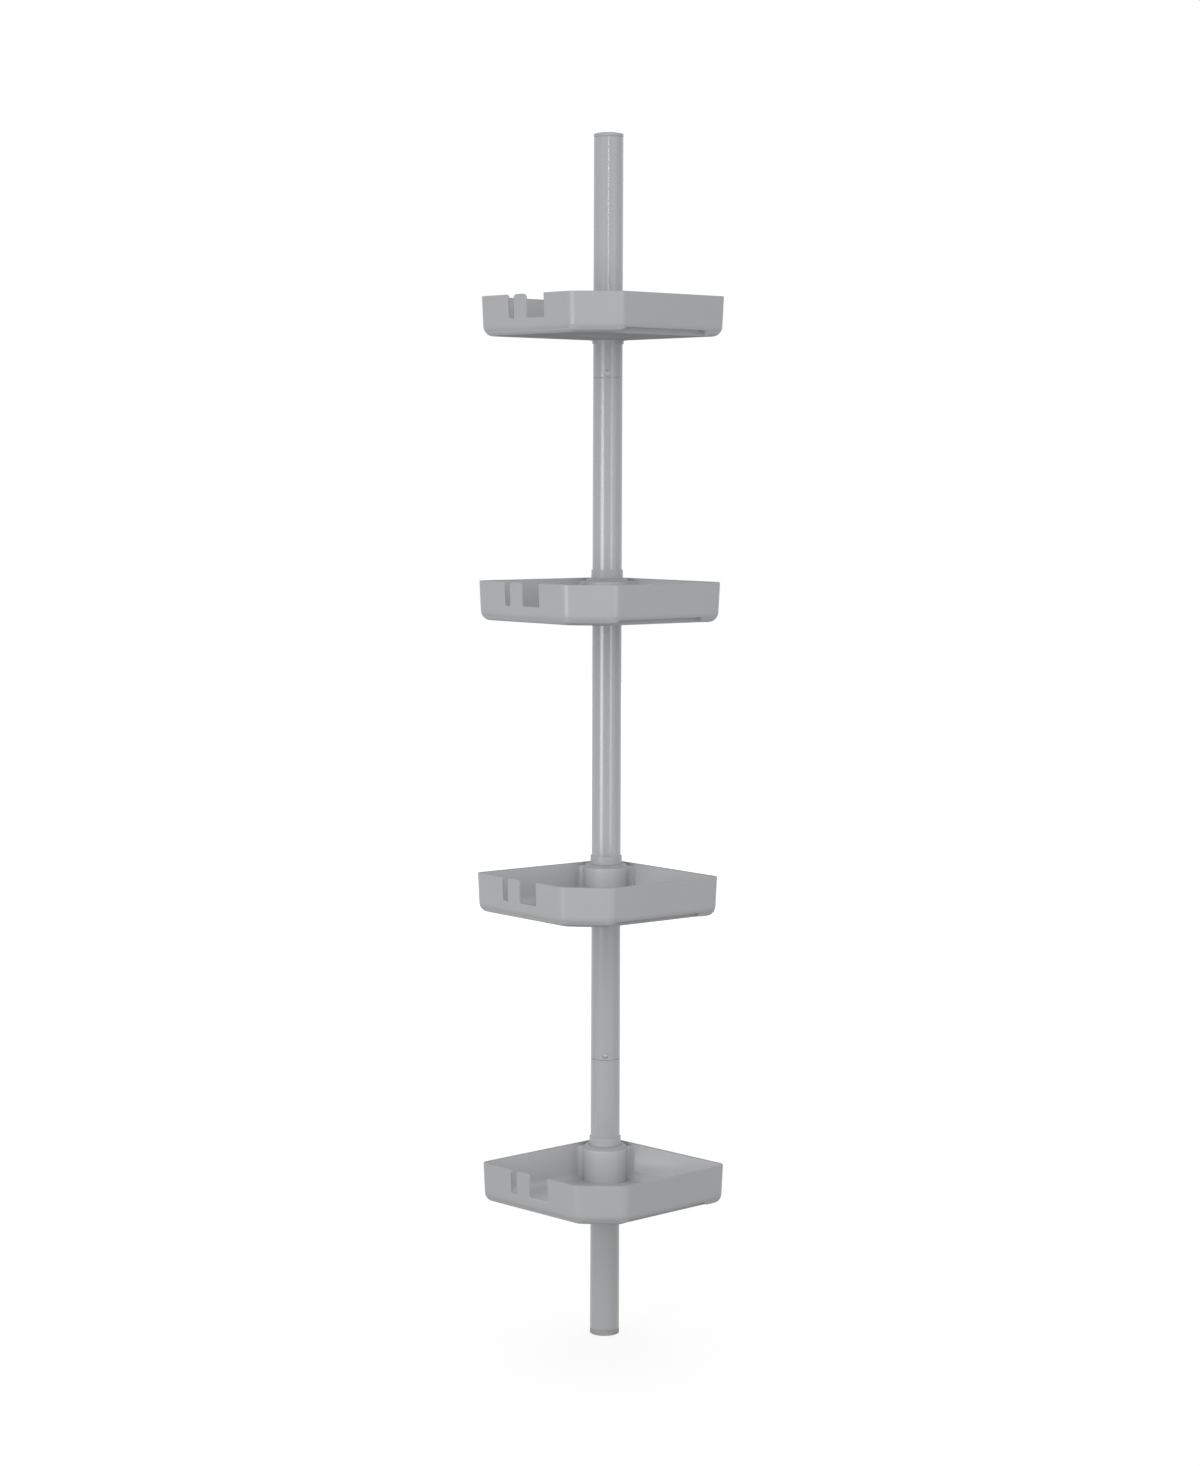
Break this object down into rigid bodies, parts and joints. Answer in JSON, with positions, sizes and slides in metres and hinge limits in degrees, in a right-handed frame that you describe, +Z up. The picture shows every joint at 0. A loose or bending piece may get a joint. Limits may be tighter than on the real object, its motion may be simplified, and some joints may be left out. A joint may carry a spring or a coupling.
{
  "type": "tension pole shelf unit",
  "caption": "Telescoping floor-to-ceiling pole with open square corner trays that slide and swivel on wedge collars; tray walls notched for hanging things.",
  "frame": {"origin": "centre of the flat under-face of the foot pad, on the pole's axis", "axes": "+Z up along the pole; in the trays' own frames +X and -Y point away from the pole along the two walls, and the notched wall faces -Y"},
  "size_m": [0.1725, 0.1719, 1.149],
  "materials": {
    "tube_paint": "gloss grey powder coat on steel tube",
    "tray_plastic": "semi-gloss moulded grey plastic",
    "collar_plastic": "satin moulded grey plastic",
    "fitting_plastic": "satin moulded grey plastic",
    "pad_rubber": "matt grey rubber",
    "spring_steel": "bright drawn steel"
  },
  "bodies": {
    "pole": {"foot_pad": "pad_rubber", "foot_plug": "fitting_plastic", "bottom_tube": "tube_paint", "middle_tube": "tube_paint", "top_tube": "tube_paint", "lower_coupler": "fitting_plastic", "upper_coupler": "fitting_plastic", "lower_leaf_foot": "spring_steel", "upper_leaf_foot": "spring_steel", "mouth_bush": "fitting_plastic"},
    "lower_button_arm": {"lower_button": "spring_steel", "lower_button_leaf": "spring_steel"},
    "upper_button_arm": {"upper_button": "spring_steel", "upper_button_leaf": "spring_steel"},
    "extension": {"extension_tube": "tube_paint", "lock_core": "fitting_plastic", "spring_seat": "fitting_plastic", "stop_pin": "spring_steel", "tension_spring": "spring_steel"},
    "lock_cam_ring": {"lock_cam": "fitting_plastic"},
    "tip": {"ceiling_plunger": "fitting_plastic", "ceiling_pad": "pad_rubber"},
    "shelf_1_collar": {"collar_front_1": "collar_plastic", "collar_back_1": "collar_plastic"},
    "shelf_1_tray": {"tray_1": "tray_plastic"},
    "shelf_2_collar": {"collar_front_2": "collar_plastic", "collar_back_2": "collar_plastic"},
    "shelf_2_tray": {"tray_2": "tray_plastic"},
    "shelf_3_collar": {"collar_front_3": "collar_plastic", "collar_back_3": "collar_plastic"},
    "shelf_3_tray": {"tray_3": "tray_plastic"},
    "shelf_4_collar": {"collar_front_4": "collar_plastic", "collar_back_4": "collar_plastic"},
    "shelf_4_tray": {"tray_4": "tray_plastic"}
  },
  "joints": [
    {"name": "extension_slide", "type": "slide", "parent": "pole", "child": "extension", "axis": [0, 0, 1], "range_m": [0, 0.54]},
    {"name": "lock_cam_turn", "type": "hinge", "parent": "extension", "child": "lock_cam_ring", "pos_m": [0.0009, 0, 0.322], "axis": [0, 0, 1], "range_deg": [0, 40]},
    {"name": "tip_plunge", "type": "slide", "parent": "extension", "child": "tip", "axis": [0, 0, 1], "range_m": [-0.012, 0], "stiffness_N_per_m": 1500, "springref_m": 0.03, "deforming": ["tension_spring"]},
    {"name": "lower_button_press", "type": "hinge", "parent": "pole", "child": "lower_button_arm", "pos_m": [0.00858, -0.00773, 0.2427], "axis": [-0.6691, -0.7431, 0], "range_deg": [0, 3], "stiffness_Nm_per_rad": 1, "springref_deg": -2.86},
    {"name": "upper_button_press", "type": "hinge", "parent": "pole", "child": "upper_button_arm", "pos_m": [0.00858, -0.00773, 0.894], "axis": [-0.6691, -0.7431, 0], "range_deg": [0, 3], "stiffness_Nm_per_rad": 1, "springref_deg": -2.86},
    {"name": "shelf_1_slide", "type": "slide", "parent": "pole", "child": "shelf_1_collar", "axis": [0, 0, 1], "range_m": [-0.105, 0.07]},
    {"name": "shelf_1_turn", "type": "hinge", "parent": "shelf_1_collar", "child": "shelf_1_tray", "pos_m": [0, 0, 0.14604], "axis": [0, 0, 1], "continuous": true},
    {"name": "shelf_2_slide", "type": "slide", "parent": "pole", "child": "shelf_2_collar", "axis": [0, 0, 1], "range_m": [-0.105, 0.105]},
    {"name": "shelf_2_turn", "type": "hinge", "parent": "shelf_2_collar", "child": "shelf_2_tray", "pos_m": [0, 0, 0.41701], "axis": [0, 0, 1], "continuous": true},
    {"name": "shelf_3_slide", "type": "slide", "parent": "pole", "child": "shelf_3_collar", "axis": [0, 0, 1], "range_m": [-0.105, 0.105]},
    {"name": "shelf_3_turn", "type": "hinge", "parent": "shelf_3_collar", "child": "shelf_3_tray", "pos_m": [0, 0, 0.68998], "axis": [0, 0, 1], "continuous": true},
    {"name": "shelf_4_slide", "type": "slide", "parent": "pole", "child": "shelf_4_collar", "axis": [0, 0, 1], "range_m": [-0.024, 0.105]},
    {"name": "shelf_4_turn", "type": "hinge", "parent": "shelf_4_collar", "child": "shelf_4_tray", "pos_m": [0, 0, 0.95298], "axis": [0, 0, 1], "continuous": true}
  ]
}
